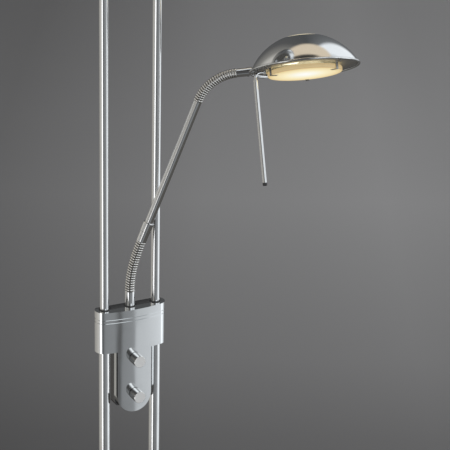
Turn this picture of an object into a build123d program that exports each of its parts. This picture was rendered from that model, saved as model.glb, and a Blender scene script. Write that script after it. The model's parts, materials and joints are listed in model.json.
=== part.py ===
from build123d import *
from math import asin, cos, radians, sin, sqrt
from collections import namedtuple
import os

# Torchiere floor lamp with a reading light on a gooseneck arm. Millimetres, +Z up.
# The origin is the middle of the base's underside. X runs across the two poles, and the knobs face -Y.

# --- overall -------------------------------------------------------------------------------------
lamp_height = 1800.0
control_top = 1200.0          # height of the control box's top face
fit = 0.05                    # radial play of a piece that slides into or over another
seat = 0.25                   # gap left between a curved or soft face and what carries it
hole_play = 0.3               # radial play of a clearance hole

# --- poles ---------------------------------------------------------------------------------------
pole_spacing = 80.0
lower_pole_d = 16.0
lower_pole_wall = 1.2
upper_pole_d = 12.8
upper_pole_wall = 1.0

# --- base ----------------------------------------------------------------------------------------
base_d = 285.0
base_edge_height = 18.0
base_crown = 9.0              # rise of the cover from its edge to its middle
cover_wall = 1.2
cover_corner_r = 5.0
base_lip = 0.6                # gap between the cover's edge and the floor
pad_thickness = 2.5
pad_d = 256.0
weight_thickness = 14.0
collar_d = 25.0
collar_height = 9.0
stud_d = 10.0
stud_plug_length = 26.0
nut_height = 6.0
nut_flats = 17.0
gland_d = 9.0
gland_bore = 5.5
gland_flange_d = 12.0
gland_height = 8.0            # of its axis above the floor

# --- control box ---------------------------------------------------------------------------------
box_end_r = 14.0              # outer radius round each pole
box_front = 18.3              # how far the middle of the front stands in front of the poles
box_back = 11.0
box_seam = -4.0               # Y of the joint between front and rear covers
box_wall = 2.5
band_height = 63.0
tongue_length = 160.0         # from the top face to the tongue's lowest point
tongue_half_width = 26.5
rear_depth = 153.0            # from the top face to the rear cover's foot
rear_half_width = 25.5
rear_corner_r = 6.0
seam_gap = 0.1
box_reach = 60.0              # of the blocks that trim the box: more than it is deep
groove_depths = (11.5, 16.5)  # the two fine lines, below the top face
groove_width = 1.3
groove_depth = 0.8
bush_d = 16.2
bush_height = 0.9
bridge_thickness = 4.0
bridge_drop = 1.0             # from the underside of the top wall to the bridge plate
coupler_flange = 3.0
coupler_plug_length = 22.0
coupler_drop = 24.0           # from the top face to the top of the thick tube

# --- knobs and dimmers ---------------------------------------------------------------------------
knob_d = 17.6
knob_length = 16.4
knob_gap = 0.7
knob_depths = (75.0, 131.0)   # of the two knob axes, below the top face
knob_recess_d = 14.6
knob_recess_depth = 3.2
shaft_d = 6.0
shaft_in_knob = 10.0
shaft_in_dimmer = 7.0
dimmer_width = 26.0
dimmer_height = 24.0
dimmer_depth = 11.0
dimmer_bush_d = 9.4
dimmer_nut_d = 12.4
dimmer_nut_thickness = 1.6

# --- reading arm ---------------------------------------------------------------------------------
arm_azimuth = -27.0           # the arm swings forward of the line of poles
ferrule_d = 14.3
foot_length = 23.0
foot_shank_d = 9.0
arm_nut_thickness = 4.0
hose_crest_d = 14.2
hose_root_d = 12.2
hose_bore_d = 8.0
rib_pitch = 3.8
lower_hose_turns = (9.5, 6.8, 4.0)      # degrees that each third of the lower hose bends
lower_hose_length = 78.0
lower_ferrule_length = 15.5
collar_b_d = 15.2
collar_b_length = 14.5
rod_d = 11.6
rod_wall = 1.0
rod_length = 191.5
rod_insert = 10.0             # how far the rod reaches into the collar
upper_hose_turns = (21.1, 21.1, 21.0)
upper_hose_length = 70.0
upper_hose_crest_d = 13.4
upper_hose_root_d = 11.4
neck_d = 12.0
neck_length = 14.2
neck_shank_d = 8.0
neck_nut_d = 11.5
neck_shank_length = 13.5
neck_nut_thickness = 3.5

# --- reading head, measured along its own axis from the plane of its rim -----------------------------
head_roll = 25.5              # the dome leans back, so the lit side is turned to the front
head_r = 75.5                 # radius of the dome at the rim
head_rise = 47.0              # of the full cap, above the rim
head_opening_r = 31.0
head_wall = 1.1
bead_r = 1.6
spout_d = 13.0
spout_reach = 79.0            # from the head's axis to the spout's face
neck_height = 1.8             # of the neck's axis above the rim plane
plate_level = 1.4
plate_thickness = 1.0
plate_bore_r = 46.0
reflector_r = 49.0
reflector_flange = 5.0
reflector_wall = 0.8
reflector_straight = 18.0
reflector_top = 35.5
glass_r = 51.5
glass_drop = 4.0              # from the plate's level down to the glass
glass_thickness = 6.2
glass_edge_r = 2.0
top_glass_rise = 4.4          # of the lit cap above the dome's opening
clip_count = 3
clip_first_angle = 86.0       # round the head from the side away from the neck
clip_width = 5.0
clip_sheet = 0.9
clip_foot = 8.0
clip_lip = 9.0
clip_screw_d = 3.0
clip_screw_head_d = 4.6
clip_screw_head = 1.5
socket_d = 14.0
socket_length = 16.0
bulb_d = 11.0
bulb_length = 26.0
handle_wire_d = 4.2
handle_bend_r = 8.0
handle_start_r = 55.5         # where the wire leaves the plate, from the head's axis
handle_r = 70.0               # of the grip, from the head's axis
handle_angle = 12.0           # round the head from the neck, towards the front
handle_foot_d = 6.6
handle_level = 3.0            # of the wire's axis below the rim plane
grip_d = 6.2
grip_length = 141.0
grip_overlap = 9.0            # how far the wire reaches into the grip
grip_cap_length = 4.0

# --- uplighter -----------------------------------------------------------------------------------
bowl_r = 145.0
bowl_depth = 62.0
bowl_flat_r = 34.0
bowl_wall = 1.2
bowl_bead_r = 1.8
bridge_block_height = 18.0
bridge_block_depth = 28.0
bridge_socket_depth = 12.0
uplight_plate_drop = 7.0
uplight_plate_bore_r = 100.0
uplight_glass_r = 108.0
uplight_glass_thickness = 5.0
bracket_width = 22.0
bracket_sheet = 2.0
bracket_height = 26.0
bracket_step = 8.0
holder_d = 16.0
holder_length = 18.0
linear_bulb_d = 10.0
linear_bulb_length = 78.0
centre_bolt_d = 10.0
centre_nut_height = 6.0


# --- small helpers ---------------------------------------------------------------------------------
def rod(d, length, z=0.0):
    """A plain cylinder from z upwards."""
    return Pos(0, 0, z + length / 2) * Cylinder(d / 2, length)


def tube(d, bore, length, z=0.0):
    return rod(d, length, z) - rod(bore, length, z)


def bar(x, y, z, low=0.0):
    """A block centred on X and Y, standing on the height low."""
    return Pos(0, 0, low + z / 2) * Box(x, y, z)


def hex_nut(flats, bore, height, z=0.0):
    body = extrude(RegularPolygon(flats / 2, 6, major_radius=False), height)
    return Pos(0, 0, z) * body - rod(bore, height, z)


def turned(points):
    """A body of revolution about Z from a closed outline of (radius, height) points."""
    outline = make_face(Polyline(*[(r, 0, z) for r, z in points], close=True))
    return revolve(outline, Axis.Z)


def spun(outer, inner):
    """A spun sheet: two arcs through three (radius, height) points each, closed at both ends, about Z."""
    outside = ThreePointArc(*[(r, 0, z) for r, z in outer])
    inside = ThreePointArc(*[(r, 0, z) for r, z in inner])
    first = Line(outside @ 0, inside @ 0)
    last = Line(outside @ 1, inside @ 1)
    return revolve(make_face([outside, last, inside, first]), Axis.Z)


def ring_bead(r, wire_r, z):
    return Pos(0, 0, z) * Torus(r, wire_r)


def at_poles(shape):
    return [Pos(side * pole_spacing / 2, 0, 0) * shape for side in (-1, 1)]


def along_y(shape, y, z):
    """Turns a shape made along +Z so that it points to the front, with its origin at (0, y, z)."""
    return Pos(0, y, z) * Rot(90, 0, 0) * shape


# --- base ------------------------------------------------------------------------------------------
weight_low = pad_thickness
weight_top = weight_low + weight_thickness
cover_edge_top = base_lip + base_edge_height
cover_top = cover_edge_top + base_crown
stud_nut_recess = nut_height + 1.0
weight_d = base_d - 2 * cover_wall - 2 * seat


def base_pad():
    hole = rod(nut_flats + 8, pad_thickness)
    return rod(pad_d, pad_thickness) - at_poles(hole)


def base_weight():
    body = rod(weight_d, weight_thickness, weight_low)
    body = chamfer(body.edges().filter_by(GeomType.CIRCLE), 1.5)
    stud_hole = rod(stud_d + 2 * hole_play, weight_thickness, weight_low)
    nut_hole = rod(nut_flats + 6, stud_nut_recess, weight_low)
    gland_notch = Pos(0, weight_d / 2, gland_height) * Box(24, 30, weight_thickness + 12)
    return body - at_poles(stud_hole) - at_poles(nut_hole) - gland_notch


def crown_height_at(r):
    """Height of the base cover's crown at a distance from its middle."""
    crown_r = (base_d / 2) ** 2 / (2 * base_crown) + base_crown / 2
    return cover_top - crown_r + sqrt(crown_r ** 2 - r ** 2)


def cover_solid(inset):
    """The filled shape under the cover's sheet: an upright edge, a rounded corner and a low crown."""
    edge_r = base_d / 2 - inset
    corner = cover_corner_r - inset
    low = base_lip
    turn_r = edge_r - corner
    turn_top = crown_height_at(turn_r) - inset
    turn_low = turn_top - corner
    middle = (turn_r + corner * sin(radians(45)), 0, turn_low + corner * sin(radians(45)))
    crown_mid = (turn_r / 2, 0, crown_height_at(turn_r / 2) - inset)
    top = cover_top - inset
    outline = [
        Line((0, 0, low), (edge_r, 0, low)),
        Line((edge_r, 0, low), (edge_r, 0, turn_low)),
        ThreePointArc((edge_r, 0, turn_low), middle, (turn_r, 0, turn_top)),
        ThreePointArc((turn_r, 0, turn_top), crown_mid, (0, 0, top)),
        Line((0, 0, top), (0, 0, low)),
    ]
    return revolve(make_face(outline), Axis.Z)


def base_cover():
    pole_hole = rod(lower_pole_d + 2 * hole_play, base_edge_height + base_crown + 2, base_lip)
    gland_hole = Pos(0, base_d / 2, gland_height) * Rot(90, 0, 0) * Cylinder(gland_d / 2 + fit, 20)
    return cover_solid(0.0) - cover_solid(cover_wall) - at_poles(pole_hole) - gland_hole


def cable_gland():
    length = 9.0
    sleeve = rod(gland_d, length)
    flange = rod(gland_flange_d, 2.0, length - 2.0)
    inner_flange = rod(gland_flange_d, 1.5, length - 2.0 - cover_wall - 2 * seat - 1.5)
    body = sleeve + flange + inner_flange - rod(gland_bore, length)
    outer_face = base_d / 2 + seat + 2.0
    return Pos(0, outer_face, gland_height) * Rot(90, 0, 0) * Pos(0, 0, length) * Rot(180, 0, 0) * body


def base_collar():
    low = crown_height_at(pole_spacing / 2 - collar_d / 2) + seat
    body = tube(collar_d, lower_pole_d + 2 * fit, collar_height, low)
    top_edge = body.edges().filter_by(GeomType.CIRCLE).sort_by(Axis.Z)[-2:].sort_by(SortBy.RADIUS)[-1]
    return fillet(top_edge, 3.0)


def pole_stud():
    plug_d = lower_pole_d - 2 * lower_pole_wall - 2 * fit
    plug = rod(plug_d, stud_plug_length, weight_top)
    stud = rod(stud_d, weight_thickness - 0.5, weight_low + 0.5)
    bore = rod(5.0, stud_plug_length + weight_thickness, weight_low)
    return plug + stud - bore


def pole_nut():
    return hex_nut(nut_flats, stud_d + 2 * fit, nut_height, weight_low + 1.0)


# --- poles -------------------------------------------------------------------------------------------
lower_pole_top = control_top - coupler_drop
upper_pole_low = lower_pole_top + coupler_flange
bowl_low = lamp_height - bowl_bead_r - bowl_depth
bridge_block_low = bowl_low - bridge_block_height
upper_pole_top = bridge_block_low + bridge_socket_depth


def lower_pole():
    length = lower_pole_top - weight_top
    return tube(lower_pole_d, lower_pole_d - 2 * lower_pole_wall, length, weight_top)


def upper_pole():
    length = upper_pole_top - upper_pole_low
    return tube(upper_pole_d, upper_pole_d - 2 * upper_pole_wall, length, upper_pole_low)


def pole_coupler():
    low_plug_d = lower_pole_d - 2 * lower_pole_wall - 2 * fit
    high_plug_d = upper_pole_d - 2 * upper_pole_wall - 2 * fit
    flange = rod(lower_pole_d, coupler_flange, lower_pole_top)
    low_plug = rod(low_plug_d, coupler_plug_length, lower_pole_top - coupler_plug_length)
    high_plug = rod(high_plug_d, coupler_plug_length, upper_pole_low)
    whole = 2 * coupler_plug_length + coupler_flange
    return flange + low_plug + high_plug - rod(6.0, whole, lower_pole_top - coupler_plug_length)


# --- control box ---------------------------------------------------------------------------------------
def box_plan(inset):
    """Plan of the box: a gently curved front that runs tangent into a round end at each pole, a flat back."""
    half = pole_spacing / 2
    end_r = box_end_r - inset
    rise = box_front - box_end_r
    front_r = (half ** 2 + rise ** 2) / (2 * rise) + box_end_r - inset
    lean = asin(half / (front_r - end_r))
    front_x = half + end_r * sin(lean)
    front_y = -end_r * cos(lean)
    back = box_back - inset
    back_x = half + sqrt(end_r ** 2 - back ** 2)
    front = ThreePointArc((-front_x, front_y), (0, -(box_front - inset)), (front_x, front_y))
    right = ThreePointArc((front_x, front_y), (half + end_r, 0), (back_x, back))
    rear = Line((back_x, back), (-back_x, back))
    left = ThreePointArc((-back_x, back), (-half - end_r, 0), (-front_x, front_y))
    return make_face([front, right, rear, left])


def front_silhouette(inset):
    """Front view of the front cover: the band above and the long tongue with its half-round foot."""
    half_band = (pole_spacing + box_reach) / 2
    half_tongue = tongue_half_width - inset
    foot_centre = control_top - tongue_length + tongue_half_width
    band = Pos(0, control_top - inset - (band_height - 2 * inset) / 2) * Rectangle(
        2 * half_band, band_height - 2 * inset
    )
    tongue_high = control_top - band_height / 2
    middle = (tongue_high + foot_centre) / 2
    tongue = Pos(0, middle) * Rectangle(2 * half_tongue, tongue_high - foot_centre)
    foot = Pos(0, foot_centre) * Circle(half_tongue)
    return band + tongue + foot


def rear_silhouette(inset):
    """Front view of the rear cover: the same band above a narrower squared housing."""
    half_band = (pole_spacing + box_reach) / 2
    band = Pos(0, control_top - inset - (band_height - 2 * inset) / 2) * Rectangle(
        2 * half_band, band_height - 2 * inset
    )
    high = control_top - band_height / 2
    low = control_top - rear_depth + inset
    housing = Rectangle(2 * (rear_half_width - inset), high - low)
    housing = fillet(housing.vertices().group_by(Axis.Y)[0], rear_corner_r - inset)
    return band + Pos(0, (high + low) / 2) * housing


def box_body(silhouette, inset):
    height = tongue_length + box_reach
    tall = Pos(0, 0, control_top - height) * extrude(box_plan(inset), height)
    upright = Plane(origin=(0, 0, 0), x_dir=(1, 0, 0), z_dir=(0, -1, 0))
    through = extrude(upright * silhouette(inset), box_reach, both=True)
    return tall & through


def half_space(front):
    """A block that holds everything before or behind the covers' seam."""
    y = box_seam - box_reach / 2 if front else box_seam + seam_gap + box_reach / 2
    width = pole_spacing + 2 * box_end_r + box_reach
    return Pos(0, y, control_top - tongue_length / 2) * Box(width, box_reach, tongue_length + box_reach)


def box_shell(silhouette, front):
    outside = box_body(silhouette, 0.0)
    inside = box_body(silhouette, box_wall)
    shell = (outside - inside) & half_space(front)
    through = 6 * box_wall
    upper_hole = rod(upper_pole_d + 2 * hole_play, through, control_top - through / 2)
    lower_hole = rod(lower_pole_d + 2 * hole_play, through, control_top - band_height - through / 2)
    foot_hole = rod(foot_shank_d + 2 * hole_play, through, control_top - through / 2)
    return shell - at_poles(upper_hole) - at_poles(lower_hole) - foot_hole


def band_groove(depth_below_top):
    """The fine line that runs round the band."""
    low = control_top - depth_below_top - groove_width / 2
    slab = Pos(0, 0, low) * extrude(box_plan(-2.0) - box_plan(groove_depth), groove_width)
    return slab


def control_front_cover():
    shell = box_shell(front_silhouette, True)
    for depth_below_top in groove_depths:
        shell -= band_groove(depth_below_top)
    for depth in knob_depths:
        hole = rod(dimmer_bush_d + 2 * hole_play, 20)
        shell -= along_y(hole, -box_front + 10, control_top - depth)
    return shell


def control_rear_cover():
    shell = box_shell(rear_silhouette, False)
    for depth_below_top in groove_depths:
        shell -= band_groove(depth_below_top)
    for x, depth in cover_screw_places():
        hole = rod(3.4, 20)
        shell -= Pos(x, box_back + 5, control_top - depth) * Rot(90, 0, 0) * hole
    return shell


def cover_screw_places():
    return [(-15.0, 30.0), (15.0, 30.0), (0.0, rear_depth - 5.8)]


def cover_posts():
    """Three sleeves between the covers that the screws pass into."""
    posts = []
    for x, depth in cover_screw_places():
        back = box_back - box_wall - seat
        front = -inner_front_y(x) + seat
        sleeve = tube(6.0, 3.0, back - front)
        posts.append(Pos(x, back, control_top - depth) * Rot(90, 0, 0) * sleeve)
    return posts


def inner_front_y(x):
    """How far the inner face of the front wall stands before the poles, at a given X."""
    half = pole_spacing / 2
    rise = box_front - box_end_r
    front_r = (half ** 2 + rise ** 2) / (2 * rise) + box_end_r
    return sqrt((front_r - box_wall) ** 2 - x ** 2) - (front_r - box_front)


def cover_screws():
    screws = []
    for x, depth in cover_screw_places():
        shank = rod(2.8, 12.0)
        head = rod(5.6, 1.8, -1.8)
        slot = Pos(0, 0, -1.8) * Box(4.4, 0.8, 1.2)
        screw = shank + head - slot
        screws.append(Pos(x, box_back, control_top - depth) * Rot(90, 0, 0) * screw)
    return screws


def pole_bush():
    """The dark ring where a thin tube enters the top face."""
    return tube(bush_d, upper_pole_d + 2 * fit, bush_height, control_top)


bridge_top = control_top - box_wall - bridge_drop
bridge_low = bridge_top - bridge_thickness


def pole_bridge():
    """The plate inside the box that holds both thin tubes and the arm's foot together."""
    width = pole_spacing + upper_pole_d + 4
    depth = 2 * (box_back - box_wall - seat)
    plate = extrude(Rectangle(width, depth), bridge_thickness)
    plate = fillet(plate.edges().filter_by(Axis.Z), 6.0)
    plate = Pos(0, 0, bridge_low) * plate
    pole_hole = rod(upper_pole_d + 2 * fit, bridge_thickness, bridge_low)
    foot_hole = rod(foot_shank_d + 2 * fit, bridge_thickness, bridge_low)
    spacer = tube(foot_shank_d + 6, foot_shank_d + 2 * fit, bridge_drop - seat, bridge_top)
    return plate - at_poles(pole_hole) - foot_hole + spacer


def arm_nut():
    return hex_nut(13.0, foot_shank_d + 2 * fit, arm_nut_thickness, bridge_low - arm_nut_thickness)


# --- dimmers and knobs --------------------------------------------------------------------------------
dimmer_face_y = -inner_front_y(dimmer_width / 2) + seat
knob_back_y = -box_front - knob_gap


def dimmer(depth):
    """A dimmer body behind the cover, with its threaded bush through the wall and a blind hole for the shaft."""
    bush_length = dimmer_face_y + box_front + dimmer_nut_thickness + 0.7
    body = Pos(0, 0, -dimmer_depth / 2) * Box(dimmer_width, dimmer_height, dimmer_depth)
    bush = rod(dimmer_bush_d, bush_length)
    shaft_hole = rod(shaft_d + 2 * fit, bush_length + shaft_in_dimmer, -shaft_in_dimmer)
    return along_y(body + bush - shaft_hole, dimmer_face_y, control_top - depth)


def dimmer_nut(depth):
    nut = tube(dimmer_nut_d, dimmer_bush_d + 2 * fit, dimmer_nut_thickness)
    return along_y(nut, -box_front - 0.1, control_top - depth)


def knob(depth):
    body = rod(knob_d, knob_length)
    body = chamfer(body.edges().group_by(Axis.Z)[-1], 0.5)
    recess = rod(knob_recess_d, knob_recess_depth)
    bore = rod(shaft_d + 2 * fit, shaft_in_knob, 0)
    return along_y(body - recess - bore, knob_back_y, control_top - depth)


def knob_shaft(depth):
    back = dimmer_face_y + shaft_in_dimmer - 1.0
    length = back - knob_back_y + shaft_in_knob - 0.5
    return along_y(rod(shaft_d, length), back, control_top - depth)


def terminal_block():
    """Where the wires meet, on the rear cover's inner wall between the dimmers."""
    block = Box(20, 7, 11)
    for x in (-5, 5):
        block -= Pos(x, 0, 3) * Cylinder(1.8, 8)
    middle = control_top - (knob_depths[0] + knob_depths[1]) / 2
    return Pos(0, box_back - box_wall - seat - 3.5, middle) * block


# --- reading arm ------------------------------------------------------------------------------------
# The arm is drawn in its own upright plane: a station is a distance out, a height and a lean from upright.
Station = namedtuple("Station", "out up lean")


def advance(station, length, turn=0.0):
    """The station at the end of a straight run, or of an arc that turns by a number of degrees."""
    lean = radians(station.lean)
    if turn == 0.0:
        return Station(station.out + length * sin(lean), station.up + length * cos(lean), station.lean)
    end = radians(station.lean + turn)
    bend_r = length / (end - lean)
    out = station.out + bend_r * (cos(lean) - cos(end))
    up = station.up + bend_r * (sin(end) - sin(lean))
    return Station(out, up, station.lean + turn)


def local(station):
    return Pos(station.out, 0, station.up) * Rot(0, station.lean, 0)


def in_arm(shape):
    """From the arm's own plane to the lamp."""
    return Pos(0, 0, control_top) * Rot(0, 0, arm_azimuth) * shape


def hose_stations(start, length, turns):
    """The four ends of a hose's three thirds."""
    ends = [start]
    for turn in turns:
        ends.append(advance(ends[-1], length / len(turns), turn))
    return ends


foot_top = Station(0.0, foot_length, 0.0)
lower_ends = hose_stations(foot_top, lower_hose_length, lower_hose_turns)
collar_b_low = advance(lower_ends[-1], lower_ferrule_length)
collar_b_top = advance(collar_b_low, collar_b_length)
rod_low = advance(collar_b_top, -rod_insert)
rod_top = advance(collar_b_top, rod_length)
upper_ends = hose_stations(rod_top, upper_hose_length, upper_hose_turns)
neck_end = advance(upper_ends[-1], neck_length)


def arm_foot():
    ferrule = tube(ferrule_d, hose_bore_d, foot_length - bush_height, bush_height)
    ferrule = chamfer(ferrule.edges().group_by(Axis.Z)[-1].sort_by(SortBy.RADIUS)[-1], 0.6)
    shank_length = box_wall + bridge_drop + bridge_thickness + arm_nut_thickness + 2
    shank = tube(foot_shank_d, 6.0, shank_length + bush_height, -shank_length)
    return in_arm(ferrule + shank)


def arm_bush():
    return in_arm(tube(ferrule_d + 2.4, foot_shank_d + 2 * fit, bush_height))


def hose(start, length, turn, crest_d, root_d):
    """One third of a hose: rings of rounded ribs on a bent tube, as ruled bands between circles."""
    ribs = round(length / rib_pitch)
    quarter_r = (root_d + crest_d) / 4
    profile = (root_d / 2, quarter_r, crest_d / 2, quarter_r)
    sections = []
    bore_sections = []
    for step in range(4 * ribs + 1):
        share = step / (4 * ribs)
        place = local(advance(start, length * share, turn * share) if step else start)
        radius = profile[step % 4]
        sections.append(place * Circle(radius))
        if step % 4 == 0:
            bore_sections.append(place * Circle(hose_bore_d / 2))
    outside = loft(sections, ruled=True)
    inside = loft(bore_sections, ruled=True)
    return in_arm(outside - inside)


def hose_thirds(ends, length, turns, crest_d, root_d):
    third = length / len(turns)
    return [hose(ends[i], third, turns[i], crest_d, root_d) for i in range(len(turns))]


def lower_ferrule():
    body = tube(ferrule_d, hose_bore_d, lower_ferrule_length)
    return in_arm(local(lower_ends[-1]) * body)


def arm_collar():
    bore = rod(rod_d + 2 * fit, rod_insert, collar_b_length - rod_insert)
    body = rod(collar_b_d, collar_b_length) - rod(hose_bore_d, collar_b_length) - bore
    edges = body.edges().filter_by(GeomType.CIRCLE).filter_by(lambda e: e.radius > collar_b_d / 2 - 0.01)
    return in_arm(local(collar_b_low) * chamfer(edges, 0.5))


def arm_rod():
    body = tube(rod_d, rod_d - 2 * rod_wall, rod_length + rod_insert)
    return in_arm(local(rod_low) * body)


def neck_ferrule():
    body = tube(neck_d, 6.0, neck_length)
    shank = tube(neck_shank_d, 5.0, neck_shank_length, neck_length)
    return in_arm(local(upper_ends[-1]) * (body + shank))


# --- reading head ---------------------------------------------------------------------------------------
# Drawn with its axis along +Z, the rim in the plane z = 0 and the neck coming in along +X from the left.
def in_head(shape):
    """From the head's own frame to the lamp: the neck's axis meets the spout's face."""
    to_neck = Rot(-head_roll, 0, 0) * Pos(spout_reach, 0, -neck_height) * shape
    return in_arm(local(neck_end) * Rot(0, -90, 0) * to_neck)


dome_r = (head_r ** 2 + head_rise ** 2) / (2 * head_rise)
dome_centre = head_rise - dome_r


def dome_height(r, offset=0.0):
    """Height of the dome's sheet at a radius, offset inwards from its outer face."""
    return dome_centre + sqrt((dome_r - offset) ** 2 - r ** 2)


def head_shell():
    low_r = head_r - 0.3
    mid_r = 55.0
    outer = [(r, dome_height(r)) for r in (low_r, mid_r, head_opening_r)]
    inner_low_r = low_r - head_wall
    inner = [(r, dome_height(r, head_wall)) for r in (inner_low_r, mid_r, head_opening_r)]
    dome = spun(outer, inner)
    rim = ring_bead(head_r, bead_r, 0.0)
    spout = Pos(-spout_reach, 0, neck_height) * Rot(0, 90, 0) * rod(spout_d, 14.0)
    spout -= Pos(0, 0, dome_centre) * Sphere(dome_r - head_wall)
    spout_bore = Pos(-spout_reach - 1, 0, neck_height) * Rot(0, 90, 0) * rod(neck_shank_d + 2 * hole_play, 20.0)
    return dome + rim + spout - spout_bore


def inner_dome_r(height):
    """Radius of the dome's inner face at a height above the rim plane."""
    return sqrt((dome_r - head_wall) ** 2 - (height - dome_centre) ** 2)


def neck_nut():
    """Inside the dome, with its upper edge against the shell."""
    face = -inner_dome_r(neck_height + neck_nut_d / 2) + seat
    nut = tube(neck_nut_d, neck_shank_d + 2 * fit, neck_nut_thickness)
    return Pos(face, 0, neck_height) * Rot(0, 90, 0) * nut


plate_low = plate_level
plate_top = plate_low + plate_thickness


def head_plate():
    """The plain sheet that closes the rim round the glass."""
    edge_r = min(inner_dome_r(plate_top), head_r - bead_r) - seat
    sheet = tube(2 * edge_r, 2 * plate_bore_r, plate_thickness, plate_low)
    notch_reach = neck_shank_length - (spout_reach - edge_r) + 1.0
    neck_notch = Pos(-edge_r, 0, plate_low) * Box(2 * notch_reach, spout_d + 1, 8)
    for angle in clip_angles():
        sheet -= Rot(0, 0, angle) * Pos(glass_r + clip_foot / 2 + 1, 0, 0) * rod(clip_screw_d - 0.6, 4, plate_low - 1)
    return sheet - neck_notch


def head_reflector():
    """A spun cup that opens downwards, with a ledge at its top for the upper glass."""
    ledge_r = head_opening_r - 5.0
    neck_r = head_opening_r + 1.5
    w = reflector_wall
    points = [
        (reflector_r + reflector_flange, plate_top),
        (reflector_r + reflector_flange, plate_top + w),
        (reflector_r + w, plate_top + w),
        (reflector_r + w, plate_top + reflector_straight),
        (neck_r + w, reflector_top + w),
        (ledge_r, reflector_top + w),
        (ledge_r, reflector_top),
        (neck_r, reflector_top),
        (reflector_r, plate_top + reflector_straight),
        (reflector_r, plate_top),
    ]
    return turned(points)


def head_top_glass():
    low = reflector_top + reflector_wall
    r = head_opening_r - 2 * seat
    edge = dome_height(head_opening_r)
    crown = edge + top_glass_rise
    body = rod(2 * r, edge - low, low)
    cap_r = (r ** 2 + top_glass_rise ** 2) / (2 * top_glass_rise)
    cap = Pos(0, 0, crown - cap_r) * Sphere(cap_r) & rod(2 * r, top_glass_rise, edge)
    return body + cap


def head_glass():
    body = rod(2 * glass_r, glass_thickness, -glass_drop - glass_thickness + plate_low)
    low_edge = body.edges().group_by(Axis.Z)[0]
    body = fillet(low_edge, glass_edge_r)
    high_edge = body.edges().filter_by(GeomType.CIRCLE).group_by(Axis.Z)[-1]
    return chamfer(high_edge, 0.6)


def clip_angles():
    return [clip_first_angle + 360.0 * i / clip_count for i in range(clip_count)]


glass_low = plate_low - glass_drop - glass_thickness
clip_leg_r = glass_r + seat


def glass_clip():
    """A bent strap: a foot on the plate, a leg past the glass's edge and a lip under the glass."""
    w = clip_sheet
    low = glass_low - seat - w
    points = [
        (clip_leg_r, plate_low - w),
        (clip_leg_r, low + w),
        (clip_leg_r - clip_lip, low + w),
        (clip_leg_r - clip_lip, low),
        (clip_leg_r + w, low),
        (clip_leg_r + w, plate_low - w),
        (clip_leg_r + clip_foot, plate_low - w),
        (clip_leg_r + clip_foot, plate_low),
        (clip_leg_r, plate_low),
    ]
    upright = Plane(origin=(0, clip_width / 2, 0), x_dir=(1, 0, 0), z_dir=(0, -1, 0))
    outline = make_face(Polyline(*points, close=True))
    strap = extrude(upright * outline, clip_width)
    hole = Pos(glass_r + clip_foot / 2 + 1, 0, 0) * rod(clip_screw_d + 0.2, 4, plate_low - 3)
    return strap - hole


def clip_screw():
    head = rod(clip_screw_head_d, clip_screw_head, plate_low - clip_sheet - clip_screw_head)
    shank = rod(clip_screw_d - 0.7, clip_sheet + plate_thickness, plate_low - clip_sheet)
    slot = Pos(0, 0, plate_low - clip_sheet - clip_screw_head) * Box(6, 0.7, 1.0)
    return Pos(glass_r + clip_foot / 2 + 1, 0, 0) * (head + shank - slot)


def round_clips(shape):
    return [Rot(0, 0, angle) * shape for angle in clip_angles()]


socket_height = plate_top + reflector_straight / 2 + 1


def head_socket():
    """Lamp holder, with its flat back against the cup's wall on the neck's side."""
    back = -sqrt(reflector_r ** 2 - (socket_d / 2) ** 2) + seat
    body = rod(socket_d, socket_length) - rod(bulb_d - 4, 6.0, socket_length - 6.0)
    return Pos(back, 0, socket_height) * Rot(0, 90, 0) * body


def head_bulb():
    """A capsule bulb: a narrow foot in the holder and a round-ended envelope."""
    back = -sqrt(reflector_r ** 2 - (socket_d / 2) ** 2) + seat + socket_length
    foot = rod(bulb_d - 4 - 2 * fit, 5.0 + 1.0, -5.0)
    envelope = rod(bulb_d, bulb_length - bulb_d / 2, seat)
    tip = Pos(0, 0, seat + bulb_length - bulb_d / 2) * Sphere(bulb_d / 2)
    return Pos(back, 0, socket_height) * Rot(0, 90, 0) * (foot + envelope + tip)


grip_top = -handle_level - handle_bend_r - 2.0


def beside_neck(shape):
    return Rot(0, 0, handle_angle) * shape


def handle_wire():
    """Bent wire: out of a small foot under the plate, then down into the grip."""
    start = (-handle_start_r, 0, -handle_level)
    corner = (-handle_r, 0, -handle_level)
    end = (-handle_r, 0, grip_top - grip_overlap)
    path = FilletPolyline(start, corner, end, radius=handle_bend_r)
    section = Plane(origin=path @ 0, z_dir=path % 0) * Circle(handle_wire_d / 2)
    wire = sweep(section, path)
    foot_low = -handle_level - handle_wire_d / 2 - 0.6
    foot = Pos(-handle_start_r, 0, 0) * rod(handle_foot_d, plate_low - foot_low, foot_low)
    return wire + foot


def handle_grip():
    body = rod(grip_d, grip_length, grip_top - grip_length)
    bore = rod(handle_wire_d + 2 * fit, grip_overlap + 0.5, grip_top - grip_overlap - 0.5)
    end_bore = rod(grip_d - 2.0, 4.0, grip_top - grip_length)
    body = body - bore - end_bore
    return Pos(-handle_r, 0, 0) * body


def grip_cap():
    plug = rod(grip_d - 2.0 - 2 * fit, 3.5, grip_top - grip_length)
    head = rod(grip_d, grip_cap_length, grip_top - grip_length - grip_cap_length)
    head = fillet(head.edges().group_by(Axis.Z)[0], 1.2)
    return Pos(-handle_r, 0, 0) * (plug + head)


# --- uplighter -----------------------------------------------------------------------------------------
bowl_rim = lamp_height - bowl_bead_r
bowl_mid_r = 0.72 * bowl_r
bowl_mid_height = bowl_low + 0.40 * bowl_depth


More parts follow.
